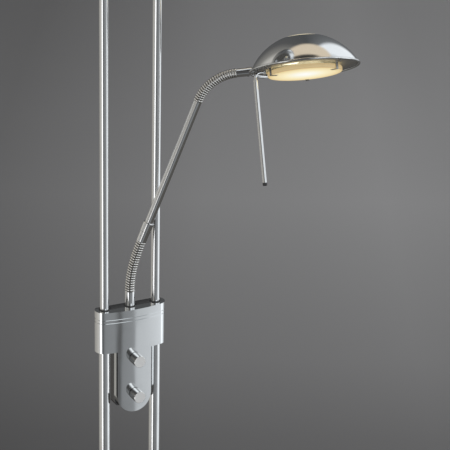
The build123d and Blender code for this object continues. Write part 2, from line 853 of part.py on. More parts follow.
def bridge_block():
    """The block that joins the tops of the two thin tubes and carries the bowl."""
    plan = SlotCenterToCenter(pole_spacing, bridge_block_depth)
    body = Pos(0, 0, bridge_block_low) * extrude(plan, bridge_block_height)
    body = fillet(body.edges().group_by(Axis.Z)[-1], 2.0)
    body = fillet(body.edges().group_by(Axis.Z)[0], 2.0)
    socket = rod(upper_pole_d + 2 * fit, bridge_socket_depth, bridge_block_low)
    bolt = rod(centre_bolt_d + 2 * fit, bridge_block_height, bridge_block_low)
    return body - at_poles(socket) - bolt


def centre_bolt():
    """Hollow bolt that clamps the bowl on the block and lets the wires through."""
    head = hex_nut(15.0, 6.0, 4.0, bridge_block_low - 4.0)
    length = bridge_block_height + bowl_wall + bracket_sheet + centre_nut_height + 2
    return head + tube(centre_bolt_d, 6.0, length, bridge_block_low)


def centre_nut():
    return hex_nut(15.0, centre_bolt_d + 2 * fit, centre_nut_height, bowl_low + bowl_wall + bracket_sheet)


def uplighter_bowl():
    """Spun bowl: flat foot, one sweeping curve up to a rolled rim."""
    w = bowl_wall
    outer = ThreePointArc((bowl_flat_r, 0, bowl_low), (bowl_mid_r, 0, bowl_mid_height), (bowl_r, 0, bowl_rim))
    inner_mid = (bowl_mid_r - 0.5 * w, 0, bowl_mid_height + 0.9 * w)
    inner = ThreePointArc((bowl_flat_r, 0, bowl_low + w), inner_mid, (bowl_r - w, 0, bowl_rim))
    bore_r = centre_bolt_d / 2 + hole_play
    foot_low = Line((bore_r, 0, bowl_low), outer @ 0)
    foot_high = Line((bore_r, 0, bowl_low + w), inner @ 0)
    bore = Line((bore_r, 0, bowl_low), (bore_r, 0, bowl_low + w))
    lip = Line(outer @ 1, inner @ 1)
    bowl = revolve(make_face([foot_low, outer, lip, inner, foot_high, bore]), Axis.Z)
    return bowl + ring_bead(bowl_r, bowl_bead_r, bowl_rim)


uplight_plate_low = bowl_rim - uplight_plate_drop


def uplighter_plate():
    edge_r = bowl_r - bowl_bead_r - seat
    return trim_to_bowl(tube(2 * edge_r, 2 * uplight_plate_bore_r, 1.0, uplight_plate_low))


def trim_to_bowl(shape):
    """Keeps a piece inside the bowl's wall with the seating gap."""
    w = bowl_wall + seat
    inner_mid = (bowl_mid_r - 0.5 * w, 0, bowl_mid_height + 0.9 * w)
    curve = ThreePointArc((bowl_flat_r, 0, bowl_low + w), inner_mid, (bowl_r - w, 0, bowl_rim))
    across = Line((0, 0, bowl_low + w), curve @ 0)
    up = Line((0, 0, bowl_low + w), (0, 0, lamp_height))
    over = Line((0, 0, lamp_height), (bowl_r - w, 0, lamp_height))
    down = Line((bowl_r - w, 0, lamp_height), curve @ 1)
    return shape & revolve(make_face([across, curve, down, over, up]), Axis.Z)


def uplighter_glass():
    low = uplight_plate_low + 1.0
    body = rod(2 * uplight_glass_r, uplight_glass_thickness, low)
    return fillet(body.edges().group_by(Axis.Z)[-1], 2.0)


def uplighter_clip():
    """A bent strap from the plate over the edge of the glass."""
    w = 1.0
    low = uplight_plate_low + 1.0
    high = low + uplight_glass_thickness + seat
    leg = uplight_glass_r + seat
    points = [
        (leg + 12.0, low),
        (leg + 12.0, low + w),
        (leg + w, low + w),
        (leg + w, high + w),
        (leg - 9.0, high + w),
        (leg - 9.0, high),
        (leg, high),
        (leg, low),
    ]
    upright = Plane(origin=(0, 4.0, 0), x_dir=(1, 0, 0), z_dir=(0, -1, 0))
    return extrude(upright * make_face(Polyline(*points, close=True)), 8.0)


holder_axis = bowl_low + bowl_wall + bracket_height
holder_face_x = linear_bulb_length / 2 + seat


def uplighter_bracket():
    """A strip bolted to the bowl's foot, stepped up past its curve and bent up to carry the lamp holders."""
    w = bracket_sheet
    low = bowl_low + bowl_wall
    reach = holder_face_x + holder_length
    foot_x = sqrt(bowl_flat_r ** 2 - (bracket_width / 2) ** 2) - 0.5
    strip = bar(2 * foot_x, bracket_width, w, low)
    for side in (-1, 1):
        strip += Pos(side * (foot_x - w / 2), 0, 0) * bar(w, bracket_width, bracket_step + w, low)
        arm = bar(reach - foot_x + w, bracket_width, w, low + bracket_step)
        strip += Pos(side * (reach + foot_x - w) / 2, 0, 0) * arm
        ear_height = bracket_height + holder_d / 2 - bracket_step
        ear = bar(w, bracket_width, ear_height, low + bracket_step)
        strip += Pos(side * (reach - w / 2), 0, 0) * ear
    return strip - rod(centre_bolt_d + 2 * fit, w + 2, low - 1)


def uplighter_holders():
    holders = []
    for side in (-1, 1):
        body = rod(holder_d, holder_length - bracket_sheet - fit)
        body -= rod(linear_bulb_d - 3, 4.0)
        place = Pos(side * holder_face_x, 0, holder_axis) * Rot(0, side * 90, 0)
        holders.append(place * body)
    return holders


def uplighter_bulb():
    body = Rot(0, 90, 0) * Pos(0, 0, -linear_bulb_length / 2) * rod(linear_bulb_d, linear_bulb_length)
    pin_length = linear_bulb_length + 2 * (seat + 3.0)
    pins = Rot(0, 90, 0) * Pos(0, 0, -pin_length / 2) * rod(linear_bulb_d - 3 - 2 * fit, pin_length)
    return Pos(0, 0, holder_axis) * (body + pins)


# --- the files -------------------------------------------------------------------------------------------
def save(name, shape):
    """Writes one node. A list becomes a group of separate solids."""
    if isinstance(shape, (list, tuple)):
        shape = Compound(children=[piece if isinstance(piece, Solid) else piece.solid() for piece in shape])
    export_step(shape, "parts/" + name + ".step")


def save_pair(name, shape):
    left, right = at_poles(shape)
    save(name + "_left", left)
    save(name + "_right", right)


os.makedirs("parts", exist_ok=True)

save("base_pad", base_pad())
save("base_weight", base_weight())
save("base_cover", base_cover())
save("cable_gland", cable_gland())
save("base_collars", at_poles(base_collar()))
save("pole_studs", at_poles(pole_stud()))
save("pole_nuts", at_poles(pole_nut()))
save_pair("lower_pole", lower_pole())
save_pair("upper_pole", upper_pole())
save("pole_couplers", at_poles(pole_coupler()))

save("control_front_cover", control_front_cover())
save("control_rear_cover", control_rear_cover())
save("cover_posts", cover_posts())
save("cover_screws", cover_screws())
save("entry_bushes", at_poles(pole_bush()) + [arm_bush()])
save("pole_bridge", pole_bridge())
save("terminal_block", terminal_block())
for name, depth in zip(("upper", "lower"), knob_depths):
    save(name + "_knob", knob(depth))
    save(name + "_knob_shaft", knob_shaft(depth))
save("dimmers", [dimmer(depth) for depth in knob_depths])
save("dimmer_nuts", [dimmer_nut(depth) for depth in knob_depths])

save("arm_foot", arm_foot())
save("arm_nut", arm_nut())
lower_thirds = hose_thirds(lower_ends, lower_hose_length, lower_hose_turns, hose_crest_d, hose_root_d)
upper_thirds = hose_thirds(
    upper_ends, upper_hose_length, upper_hose_turns, upper_hose_crest_d, upper_hose_root_d
)
for place, low_third, high_third in zip(("start", "middle", "end"), lower_thirds, upper_thirds):
    save("lower_hose_" + place, low_third)
    save("upper_hose_" + place, high_third)
save("lower_ferrule", lower_ferrule())
save("arm_collar", arm_collar())
save("arm_rod", arm_rod())
save("neck_ferrule", neck_ferrule())

save("head_shell", in_head(head_shell()))
save("neck_nut", in_head(neck_nut()))
save("head_plate", in_head(head_plate()))
save("head_reflector", in_head(head_reflector()))
save("head_top_glass", in_head(head_top_glass()))
save("head_glass", in_head(head_glass()))
save("glass_clips", [in_head(clip) for clip in round_clips(glass_clip())])
save("clip_screws", [in_head(screw) for screw in round_clips(clip_screw())])
save("head_socket", in_head(head_socket()))
save("head_bulb", in_head(head_bulb()))
save("handle_wire", in_head(beside_neck(handle_wire())))
save("handle_grip", in_head(beside_neck(handle_grip())))
save("grip_cap", in_head(beside_neck(grip_cap())))

save("bridge_block", bridge_block())
save("centre_bolt", centre_bolt())
save("centre_nut", centre_nut())
save("uplighter_bowl", uplighter_bowl())
save("uplighter_plate", uplighter_plate())
save("uplighter_glass", uplighter_glass())
save("uplighter_clips", [Rot(0, 0, 30 + 120 * i) * uplighter_clip() for i in range(3)])
save("uplighter_bracket", uplighter_bracket())
save("uplighter_holders", uplighter_holders())
save("uplighter_bulb", uplighter_bulb())
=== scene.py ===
import json
import math

import bmesh
import bpy
from mathutils import Matrix, Vector


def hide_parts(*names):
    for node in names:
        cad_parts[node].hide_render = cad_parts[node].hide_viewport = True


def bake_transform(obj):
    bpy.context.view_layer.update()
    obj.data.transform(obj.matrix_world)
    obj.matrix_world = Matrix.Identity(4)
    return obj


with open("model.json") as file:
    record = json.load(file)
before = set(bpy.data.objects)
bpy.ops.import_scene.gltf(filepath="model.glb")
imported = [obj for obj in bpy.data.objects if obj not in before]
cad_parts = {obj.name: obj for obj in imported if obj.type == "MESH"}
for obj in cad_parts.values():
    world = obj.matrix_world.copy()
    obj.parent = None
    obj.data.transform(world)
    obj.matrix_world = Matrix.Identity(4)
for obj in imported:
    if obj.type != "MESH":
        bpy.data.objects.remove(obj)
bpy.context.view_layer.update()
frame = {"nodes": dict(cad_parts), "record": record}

# Torchiere floor lamp with a reading light on a ribbed arm. Metres, +Z up, knobs towards -Y.
nodes = frame["nodes"]

# --- sizes that the finishes and hoses share with the solid parts ---------------------------------
control_top = 1.2
arm_azimuth = math.radians(-27.0)
box_front = 0.0183
knob_gap = 0.0007
knob_depth = 0.0164
knob_face = -(box_front + knob_gap + knob_depth)
knob_end_skin = 0.0003  # how far behind its face a knob's end is still satin
upper_knob_height = 1.125
lower_knob_height = 1.069
plated_from_x = 0.037  # the rear cover is plated further out than this,
plated_to_y = 0.008  # and no further back than this
foot_length = 0.023
hose_ribs = 21
hose_middle_rib = 11
hose_wall = 0.0014
lower_hose = {"length": 0.078, "turns": (9.5, 6.8, 4.0), "crest": 0.0071, "root": 0.0060}
upper_hose = {"length": 0.070, "turns": (21.1, 21.1, 21.0), "crest": 0.0067, "root": 0.0056}
lower_ferrule_length = 0.0155
collar_length = 0.0145
rod_length = 0.1915
neck_length = 0.0142
head_roll = math.radians(25.5)
spout_reach = 0.079
neck_height = 0.0018
glass_radius = 0.0515
top_glass_from = 0.02  # lit glass higher than this in the head is the top one


# --- the line of the arm --------------------------------------------------------------------------
def onward(station, length, turn=0.0):
    """The next station (distance out, height, lean in degrees) after a straight run or an arc."""
    out, up, lean = station
    low = math.radians(lean)
    if not turn:
        return (out + length * math.sin(low), up + length * math.cos(low), lean)
    high = math.radians(lean + turn)
    bend = length / (high - low)
    further = bend * (math.cos(low) - math.cos(high))
    higher = bend * (math.sin(high) - math.sin(low))
    return (out + further, up + higher, lean + turn)


def along_hose(start, hose, share):
    """The station at a share of a hose's length, counted from its start. Each third has its own bend."""
    third = hose["length"] / 3
    station = start
    for turn in hose["turns"]:
        part = min(max(share * 3, 0.0), 1.0)
        if part > 0:
            station = onward(station, third * part, turn * part)
        share -= 1 / 3
    return station


def placed(station):
    """The matrix of a station on the lamp: Z along the arm, Y square to the arm's plane."""
    out, up, lean = station
    return (
        Matrix.Translation((0, 0, control_top))
        @ Matrix.Rotation(arm_azimuth, 4, "Z")
        @ Matrix.Translation((out, 0, up))
        @ Matrix.Rotation(math.radians(lean), 4, "Y")
    )


lower_start = (0.0, foot_length, 0.0)
lower_end = along_hose(lower_start, lower_hose, 1.0)
rod_end = onward(lower_end, lower_ferrule_length + collar_length + rod_length)
upper_end = along_hose(rod_end, upper_hose, 1.0)
neck_end = onward(upper_end, neck_length)
head_place = (
    placed(neck_end)
    @ Matrix.Rotation(math.radians(-90), 4, "Y")
    @ Matrix.Rotation(-head_roll, 4, "X")
    @ Matrix.Translation((spout_reach, 0, -neck_height))
)


# --- shader maths ---------------------------------------------------------------------------------
# A Mix node has a pair of inputs and an output for each kind of data. These are its colours.
mix_first_colour = 6
mix_second_colour = 7
mixed_colour = 2


class Value:
    """A number that varies over a surface: arithmetic on it adds the nodes that work it out."""

    def __init__(self, finish, socket):
        self.finish = finish
        self.socket = socket

    def worked_out(self, operation, first, second=0.0):
        return self.finish.add("ShaderNodeMath", {"operation": operation}, {0: first, 1: second})

    def __add__(self, other):
        return self.worked_out("ADD", self, other)

    def __radd__(self, other):
        return self.worked_out("ADD", other, self)

    def __sub__(self, other):
        return self.worked_out("SUBTRACT", self, other)

    def __rsub__(self, other):
        return self.worked_out("SUBTRACT", other, self)

    def __mul__(self, other):
        return self.worked_out("MULTIPLY", self, other)

    def __rmul__(self, other):
        return self.worked_out("MULTIPLY", other, self)

    def __truediv__(self, other):
        return self.worked_out("DIVIDE", self, other)

    def __rtruediv__(self, other):
        return self.worked_out("DIVIDE", other, self)

    def __pow__(self, other):
        return self.worked_out("POWER", self, other)

    def __lt__(self, other):
        return self.worked_out("LESS_THAN", self, other)

    def __gt__(self, other):
        return self.worked_out("GREATER_THAN", self, other)

    def __abs__(self):
        return self.worked_out("ABSOLUTE", self)

    def sine(self):
        return self.worked_out("SINE", self)

    def angle_with(self, along):
        """The angle, in radians, whose opposite side is this value and whose near side is the other."""
        return self.worked_out("ARCTAN2", self, along)

    def between(self, low, high):
        """0 below low, 1 above high, smooth between."""
        return self.finish.add(
            "ShaderNodeMapRange",
            {"interpolation_type": "SMOOTHSTEP"},
            {"Value": self, "From Min": low, "From Max": high},
        )


class Finish:
    """One material, built from nodes on the piece's own coordinates."""

    def __init__(self, name, fixed):
        self.material = bpy.data.materials.new(name)
        self.material.use_nodes = True
        self.tree = self.material.node_tree
        self.tree.nodes.clear()
        self.shader = self.tree.nodes.new("ShaderNodeBsdfPrincipled")
        surface = self.tree.nodes.new("ShaderNodeOutputMaterial")
        self.tree.links.new(self.shader.outputs[0], surface.inputs["Surface"])
        for socket, value in fixed.items():
            self.set(self.shader.inputs[socket], value)
        self.place = self.add("ShaderNodeTexCoord", output="Object")

    def set(self, socket, value):
        """Links a value that varies to a socket, or sets a constant on it."""
        if isinstance(value, Value):
            self.tree.links.new(value.socket, socket)
        elif socket.type == "RGBA" and len(value) == 3:
            socket.default_value = (*value, 1.0)
        else:
            socket.default_value = value

    def add(self, kind, settings=None, sockets=None, output=0):
        """A node of any type: its settings come first, then the values or links of its sockets."""
        node = self.tree.nodes.new(kind)
        for name, value in (settings or {}).items():
            if name == "stops":
                stops = node.color_ramp.elements
                stops.remove(stops[1])
                first_position, first_colour = value[0]
                stops[0].position = first_position
                stops[0].color = (*first_colour, 1.0)
                for position, colour in value[1:]:
                    stops.new(position).color = (*colour, 1.0)
            else:
                setattr(node, name, value)
        for name, value in (sockets or {}).items():
            self.set(node.inputs[name], value)
        return Value(self, node.outputs[output])

    def paint(self, socket, value):
        """Feeds one of the shader's sockets."""
        self.set(self.shader.inputs[socket], value)

    def stretched(self, x, y, z):
        """The piece's coordinates, scaled by one number along each axis."""
        return self.add("ShaderNodeVectorMath", {"operation": "MULTIPLY"}, {0: self.place, 1: (x, y, z)})

    def noise(self, scale, detail=2.0, roughness=0.5, place=None):
        """Cloudy noise from 0 to 1, on the piece's coordinates or on others made from them."""
        where = self.place if place is None else place
        sockets = {"Vector": where, "Scale": scale, "Detail": detail, "Roughness": roughness}
        return self.add("ShaderNodeTexNoise", {"noise_dimensions": "3D"}, sockets)

    def dot(self, direction, centre=(0, 0, 0)):
        """Distance along a direction from a centre."""
        moved = self.add("ShaderNodeVectorMath", {"operation": "SUBTRACT"}, {0: self.place, 1: centre})
        sockets = {0: moved, 1: direction}
        return self.add("ShaderNodeVectorMath", {"operation": "DOT_PRODUCT"}, sockets, "Value")

    def from_axis(self, centre, first, second):
        """Distance from the axis that stands square to two directions."""
        return (self.dot(first, centre) ** 2.0 + self.dot(second, centre) ** 2.0) ** 0.5

    def mixed(self, share, first, second):
        """The first colour at a share of 0, the second at 1."""
        sockets = {"Factor": share, mix_first_colour: first, mix_second_colour: second}
        return self.add("ShaderNodeMix", {"data_type": "RGBA"}, sockets, mixed_colour)

    def raised(self, height, depth, strength):
        """The normal over a relief of some depth in metres."""
        sockets = {"Height": height, "Distance": depth, "Strength": strength}
        return self.add("ShaderNodeBump", None, sockets)


def shade(colour, factor):
    """A colour made lighter or darker by a factor, and at most white."""
    return tuple(min(1.0, part * factor) for part in colour)


along_x = (1, 0, 0)
along_y = (0, 1, 0)
along_z = (0, 0, 1)
full_circle = 2 * math.pi
head_centre = tuple(head_place.translation)
head_axes = [tuple(head_place.col[i].xyz) for i in range(3)]


# --- finishes -------------------------------------------------------------------------------------
chrome_tint = (0.80, 0.805, 0.81)


def handled(finish, colour, roughness, spread=0.05):
    """Handling marks on polished metal: broad smears and a haze of hairlines, in colour and in roughness."""
    smears = finish.noise(scale=22.0, detail=3.0, roughness=0.6).between(0.35, 0.75)
    hairlines = finish.noise(scale=1400.0, detail=2.0)
    finish.paint("Base Color", finish.mixed(smears * 0.6 + hairlines * 0.25, colour, shade(colour, 0.93)))
    finish.paint("Roughness", roughness + smears * spread + hairlines * 0.03)


def drawn_tube():
    """Chrome on drawn tube: faint draw lines run the long way of the poles."""
    finish = Finish("chrome_tube", {"Metallic": 1.0})
    handled(finish, chrome_tint, roughness=0.085)
    lines = finish.noise(scale=1.0, detail=2.0, roughness=0.5, place=finish.stretched(1500.0, 1500.0, 5.0))
    finish.paint("Normal", finish.raised(lines, depth=0.000012, strength=0.6))
    return finish.material


def cast_chrome():
    """Chrome on cast or turned pieces: a slight wave left by the polishing wheel."""
    finish = Finish("chrome", {"Metallic": 1.0})
    handled(finish, chrome_tint, roughness=0.07)
    waves = finish.noise(scale=70.0, detail=1.0)
    finish.paint("Normal", finish.raised(waves, depth=0.00012, strength=0.5))
    return finish.material


def spun_chrome(name, centre, axes, colour, roughness, pitch):
    """Polished spun sheet: very fine rings about the axis and a slow unevenness left by the roller."""
    finish = Finish(name, {"Metallic": 1.0})
    handled(finish, colour, roughness, spread=0.04)
    radius = finish.from_axis(centre, axes[0], axes[1])
    rings = (radius * (full_circle / pitch)).sine()
    slow = finish.noise(scale=28.0, detail=1.0)
    finish.paint("Normal", finish.raised(rings * 0.02 + slow, depth=0.00022, strength=0.35))
    return finish.material


def front_cover_metal():
    """The cover's polished plating: soft upright grain and a gentle ripple that bends reflections."""
    finish = Finish("front_cover", {"Metallic": 1.0})
    grain = finish.noise(scale=1.0, detail=2.0, roughness=0.55, place=finish.stretched(2400.0, 2400.0, 40.0))
    smears = finish.noise(scale=30.0, detail=3.0, roughness=0.6).between(0.4, 0.7)
    worn = smears * 0.5 + grain * 0.3
    finish.paint("Base Color", finish.mixed(worn, (0.80, 0.81, 0.82), (0.74, 0.755, 0.76)))
    finish.paint("Roughness", 0.06 + smears * 0.04 + grain * 0.03)
    ripple = finish.noise(scale=1.0, detail=1.0, roughness=0.4, place=finish.stretched(30.0, 30.0, 12.0))
    finish.paint("Normal", finish.raised(ripple + grain * 0.01, depth=0.0009, strength=0.35))
    return finish.material


def rear_cover_plastic():
    """Glossy dark plastic, plated like the front where it wraps round the ends past the poles."""
    finish = Finish("rear_cover", {"Specular IOR Level": 0.5})
    grain = finish.noise(scale=900.0, detail=3.0)
    dust = finish.noise(scale=60.0, detail=4.0, roughness=0.7).between(0.5, 0.8)
    plated = (abs(finish.dot(along_x)) > plated_from_x) * (finish.dot(along_y) < plated_to_y)
    plastic = finish.mixed(dust * 0.5, (0.055, 0.055, 0.057), (0.085, 0.085, 0.086))
    finish.paint("Base Color", finish.mixed(plated, plastic, (0.78, 0.785, 0.79)))
    finish.paint("Metallic", plated)
    finish.paint("Roughness", (0.18 + dust * 0.12 + grain * 0.05) * (1.0 - plated * 0.6))
    finish.paint("Normal", finish.raised(grain, depth=0.00002, strength=0.4))
    return finish.material


def knob_metal():
    """Polished side, and a satin end turned in fine rings about each knob's own centre."""
    finish = Finish("knob", {})
    turned_pitch = 0.00045
    on_end = finish.dot(along_y) < knob_face + knob_end_skin
    height = finish.dot(along_z)
    upper = height > (upper_knob_height + lower_knob_height) / 2
    from_centre = height - (upper * (upper_knob_height - lower_knob_height) + lower_knob_height)
    radius = (finish.dot(along_x) ** 2.0 + from_centre ** 2.0) ** 0.5
    rings = (radius * (full_circle / turned_pitch)).sine()
    hairlines = finish.noise(scale=1600.0, detail=2.0)
    finish.paint("Base Color", finish.mixed(hairlines * 0.4, (0.84, 0.845, 0.84), (0.74, 0.75, 0.74)))
    finish.paint("Metallic", 1.0 - on_end * 0.6)
    finish.paint("Roughness", 0.08 + on_end * 0.24 + hairlines * 0.05)
    finish.paint("Normal", finish.raised(rings * on_end, depth=0.00001, strength=0.5))
    return finish.material


def hose_metal():
    """Plated ribs with random tone and a little grime, duller deep in the grooves between each two, with
    painted shade there.
    """
    finish = Finish("hose", {"Metallic": 1.0})
    grime = finish.noise(scale=500.0, detail=3.0, roughness=0.6)
    tone = finish.noise(scale=90.0, detail=2.0)
    # How deep a point lies between two ribs, which sets where shade is painted.
    depth = finish.add("ShaderNodeAttribute", {"attribute_name": "groove"}, output="Fac")
    groove = depth.between(0.05, 0.75)
    plated = finish.mixed(tone * 0.5 + grime * 0.2, (0.88, 0.87, 0.85), (0.72, 0.70, 0.67))
    # Painted shade: the plated colour turns almost black deep between the ribs.
    finish.paint("Base Color", finish.mixed(groove * 0.92, plated, (0.06, 0.057, 0.052)))
    finish.paint("Roughness", 0.10 + grime * 0.10 + groove * 0.25)
    finish.paint("Normal", finish.raised(grime, depth=0.00002, strength=0.6))
    return finish.material


def plain_plate():
    """Matt painted sheet."""
    finish = Finish("plate", {"Specular IOR Level": 0.4})
    peel = finish.noise(scale=420.0, detail=2.0)
    stain = finish.noise(scale=26.0, detail=3.0).between(0.4, 0.8)
    finish.paint("Base Color", finish.mixed(stain * 0.6, (0.40, 0.40, 0.40), (0.35, 0.35, 0.345)))
    finish.paint("Roughness", 0.42 + peel * 0.12)
    finish.paint("Normal", finish.raised(peel, depth=0.00006, strength=0.5))
    return finish.material


def reflector_metal():
    """Bright hammered aluminium."""
    finish = Finish("reflector", {"Metallic": 1.0})
    hammer = finish.noise(scale=330.0, detail=1.0)
    finish.paint("Base Color", finish.mixed(hammer * 0.5, (0.86, 0.86, 0.85), (0.78, 0.78, 0.77)))
    finish.paint("Roughness", 0.16 + hammer * 0.10)
    finish.paint("Normal", finish.raised(hammer, depth=0.0002, strength=0.5))
    return finish.material


def plated_steel():
    """Dull plated steel of screws, nuts and brackets, scuffed by its tools."""
    finish = Finish("steel", {"Metallic": 1.0})
    scuffs = finish.noise(scale=240.0, detail=4.0, roughness=0.7)
    grain = finish.noise(scale=1.0, detail=2.0, roughness=0.5, place=finish.stretched(2000.0, 2000.0, 200.0))
    finish.paint("Base Color", finish.mixed(scuffs, (0.56, 0.56, 0.55), (0.42, 0.42, 0.41)))
    finish.paint("Roughness", 0.24 + scuffs * 0.16)
    finish.paint("Normal", finish.raised(grain, depth=0.00002, strength=0.5))
    return finish.material


def iron():
    """Painted cast iron, rough as its sand mould."""
    finish = Finish("weight", {"Metallic": 0.6})
    sand = finish.noise(scale=700.0, detail=5.0, roughness=0.7)
    finish.paint("Base Color", finish.mixed(sand, (0.055, 0.055, 0.057), (0.10, 0.10, 0.10)))
    finish.paint("Roughness", 0.55 + sand * 0.25)
    finish.paint("Normal", finish.raised(sand, depth=0.0003, strength=0.7))
    return finish.material


def soft_rubber():
    """Dark rubber with a felted face."""
    finish = Finish("pad", {"Specular IOR Level": 0.3})
    felt = finish.noise(scale=1200.0, detail=4.0, roughness=0.7)
    finish.paint("Base Color", finish.mixed(felt, (0.018, 0.018, 0.018), (0.036, 0.036, 0.036)))
    finish.paint("Roughness", 0.75 + felt * 0.2)
    finish.paint("Normal", finish.raised(felt, depth=0.0002, strength=0.6))
    return finish.material


def moulded(name, colour, roughness):
    """Moulded plastic or fired ceramic: a fine even grain under a broken sheen."""
    finish = Finish(name, {"Specular IOR Level": 0.45})
    grain = finish.noise(scale=1100.0, detail=3.0, roughness=0.6)
    cloud = finish.noise(scale=40.0, detail=3.0)
    finish.paint("Base Color", finish.mixed(cloud * 0.6 + grain * 0.2, colour, shade(colour, 0.84)))
    finish.paint("Roughness", roughness + grain * 0.12)
    finish.paint("Normal", finish.raised(grain, depth=0.00006, strength=0.5))
    return finish.material


def lit_glass():
    """Frosted glass with the bulb behind it: below white in the middle and amber at its edge, above even."""
    finish = Finish("lit_glass", {"Specular IOR Level": 0.5, "Emission Strength": 1.0})
    radius = finish.from_axis(head_centre, head_axes[0], head_axes[1])
    frost = finish.noise(scale=1500.0, detail=2.0)
    level = finish.dot(head_axes[2], head_centre)
    stops_outwards = [
        (0.00, (0.95, 0.95, 0.93)),
        (0.28, (0.90, 0.88, 0.76)),
        (0.55, (0.90, 0.81, 0.53)),
        (0.85, (0.82, 0.67, 0.37)),
        (0.97, (0.68, 0.52, 0.26)),
        (1.00, (0.42, 0.30, 0.13)),
    ]
    share_out = radius / glass_radius + frost * 0.02
    below = finish.add("ShaderNodeValToRGB", {"stops": stops_outwards}, {"Fac": share_out})
    above = finish.mixed(frost * 0.3, (0.88, 0.78, 0.52), (0.82, 0.72, 0.46))
    glow = finish.mixed(level > top_glass_from, below, above)
    finish.paint("Emission Color", glow)
    finish.paint("Base Color", finish.mixed(frost * 0.4, (0.24, 0.22, 0.17), (0.20, 0.18, 0.14)))
    finish.paint("Roughness", 0.25 + frost * 0.15)
    finish.paint("Normal", finish.raised(frost, depth=0.00004, strength=0.5))
    return finish.material


def opal_glass():
    """Unlit opal glass with a fine frost."""
    finish = Finish("opal_glass", {"Specular IOR Level": 0.5, "Transmission Weight": 0.25})
    frost = finish.noise(scale=1500.0, detail=2.0)
    cloud = finish.noise(scale=30.0, detail=2.0)
    finish.paint("Base Color", finish.mixed(cloud, (0.86, 0.86, 0.83), (0.80, 0.80, 0.77)))
    finish.paint("Roughness", 0.28 + frost * 0.14)
    finish.paint("Normal", finish.raised(frost, depth=0.00004, strength=0.5))
    return finish.material


def quartz():
    """The clear tube of a lit halogen bulb, faintly clouded."""
    finish = Finish("bulb", {"Specular IOR Level": 0.5, "Transmission Weight": 0.7, "Emission Strength": 0.6})
    cloud = finish.noise(scale=160.0, detail=2.0)
    finish.paint("Emission Color", finish.mixed(cloud, (1.0, 0.93, 0.74), (0.9, 0.82, 0.62)))
    finish.paint("Base Color", finish.mixed(cloud, (0.95, 0.94, 0.90), (0.88, 0.87, 0.83)))
    finish.paint("Roughness", 0.10 + cloud * 0.12)
    finish.paint("Normal", finish.raised(cloud, depth=0.0001, strength=0.4))
    return finish.material


lamp_axis = {"centre": (0, 0, 0), "axes": (along_x, along_y, along_z)}
head_axis = {"centre": head_centre, "axes": head_axes}
wide_spinning = {"colour": chrome_tint, "roughness": 0.07, "pitch": 0.0011}
head_spinning = {"colour": (0.78, 0.79, 0.80), "roughness": 0.06, "pitch": 0.0009}
finishes = {
    "chrome_tube": drawn_tube(),
    "chrome": cast_chrome(),
    "base_chrome": spun_chrome("base_chrome", **lamp_axis, **wide_spinning),
    "bowl_chrome": spun_chrome("bowl_chrome", **lamp_axis, **wide_spinning),
    "head_chrome": spun_chrome("head_chrome", **head_axis, **head_spinning),
    "front_cover": front_cover_metal(),
    "rear_cover": rear_cover_plastic(),
    "knob": knob_metal(),
    "hose": hose_metal(),
    "plate": plain_plate(),
    "reflector": reflector_metal(),
    "steel": plated_steel(),
    "weight": iron(),
    "pad": soft_rubber(),
    "black_plastic": moulded("black_plastic", colour=(0.030, 0.030, 0.031), roughness=0.42),
    "white_plastic": moulded("white_plastic", colour=(0.74, 0.74, 0.71), roughness=0.40),
    "ceramic": moulded("ceramic", colour=(0.80, 0.79, 0.75), roughness=0.35),
    "lit_glass": lit_glass(),
    "opal_glass": opal_glass(),
    "bulb": quartz(),
}
own_finish = {"base_cover": "base_chrome", "uplighter_bowl": "bowl_chrome"}
slots = {piece["node"]: piece["material_slot"] for piece in frame["record"]["subparts"]}
for name, piece in nodes.items():
    piece.data.materials.clear()
    piece.data.materials.append(finishes[own_finish.get(name, slots[name])])


# --- new pieces -----------------------------------------------------------------------------------
def new_piece(name, mesh, finish):
    """Turns a finished bmesh into a smooth object at the origin with its finish."""
    bmesh.ops.recalc_face_normals(mesh, faces=mesh.faces[:])
    data = bpy.data.meshes.new(name)
    mesh.to_mesh(data)
    mesh.free()
    for face in data.polygons:
        face.use_smooth = True
    data.materials.append(finish)
    piece = bpy.data.objects.new(name, data)
    bpy.context.scene.collection.objects.link(piece)
    return piece


def ribbed_length(name, start, hose, first, last):
    """A length of ribbed hose, from one rib to another, drawn on ring by ring along the hose's bend."""
    rings_in_a_rib = (0.0, 0.16, 0.34, 0.5, 0.66, 0.84)
    rib_fullness = 0.6
    sides = 40
    mesh = bmesh.new()
    groove = mesh.verts.layers.float.new("groove")
    rings = bmesh.ops.create_circle(mesh, segments=sides, radius=1.0)["verts"]
    edges = list({edge for vert in rings for edge in vert.link_edges})
    shares = [(rib + part) / hose_ribs for rib in range(first, last) for part in rings_in_a_rib]
    shares.append(last / hose_ribs)
    before = Matrix.Identity(4)
    for count, share in enumerate(shares):
        swell = abs(math.sin(math.pi * share * hose_ribs)) ** rib_fullness
        radius = hose["root"] + (hose["crest"] - hose["root"]) * swell
        now = placed(along_hose(start, hose, share)) @ Matrix.Diagonal((radius, radius, 1.0, 1.0))
        if count:
            grown = bmesh.ops.extrude_edge_only(mesh, edges=edges)["geom"]
            rings = [part for part in grown if isinstance(part, bmesh.types.BMVert)]
            edges = [part for part in grown if isinstance(part, bmesh.types.BMEdge)]
        bmesh.ops.transform(mesh, matrix=now @ before.inverted(), verts=rings)
        before = now
        # Each ring keeps how deep it lies between two ribs, which the hose finish uses for painted shade.
        for vert in rings:
            vert[groove] = 1.0 - swell
    for edge in mesh.edges:
        edge.smooth = not edge.is_boundary
    piece = new_piece(name, mesh, finishes["hose"])
    wall = piece.modifiers.new("wall", "SOLIDIFY")
    wall.thickness = hose_wall
    wall.offset = -1.0
    return piece


